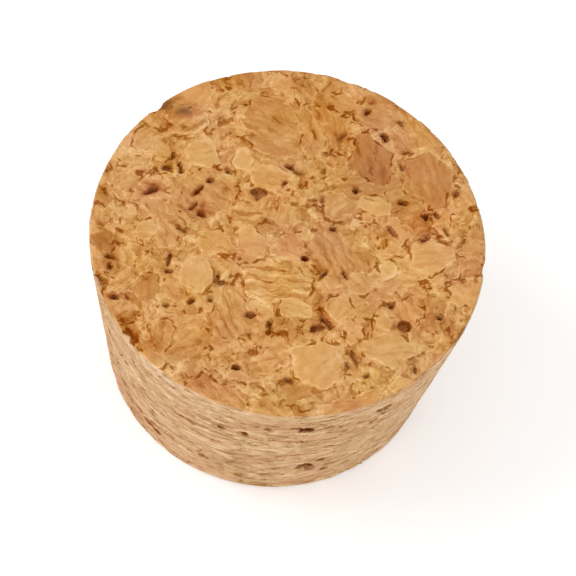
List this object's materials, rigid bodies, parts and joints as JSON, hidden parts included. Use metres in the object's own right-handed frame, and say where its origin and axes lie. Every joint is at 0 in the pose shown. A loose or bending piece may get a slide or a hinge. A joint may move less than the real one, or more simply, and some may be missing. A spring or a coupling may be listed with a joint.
{
  "type": "cork stopper",
  "caption": "Round tapered stopper of agglomerated cork, in one piece. It plugs the neck of a jar or bottle, or stands as a small bung or foot.",
  "frame": {"origin": "centre of the narrow end's flat face, which the stopper stands on", "axes": "+Z along the stopper's own axis, from the narrow end up to the wide end; +X and +Y are across it, with -Y towards the side seen in the main view"},
  "size_m": [0.0348, 0.0348, 0.02],
  "materials": {
    "agglomerated_cork": "matt sanded agglomerate of cork granules, not lacquered"
  },
  "bodies": {
    "root": {"stopper": "agglomerated_cork"}
  },
  "joints": []
}
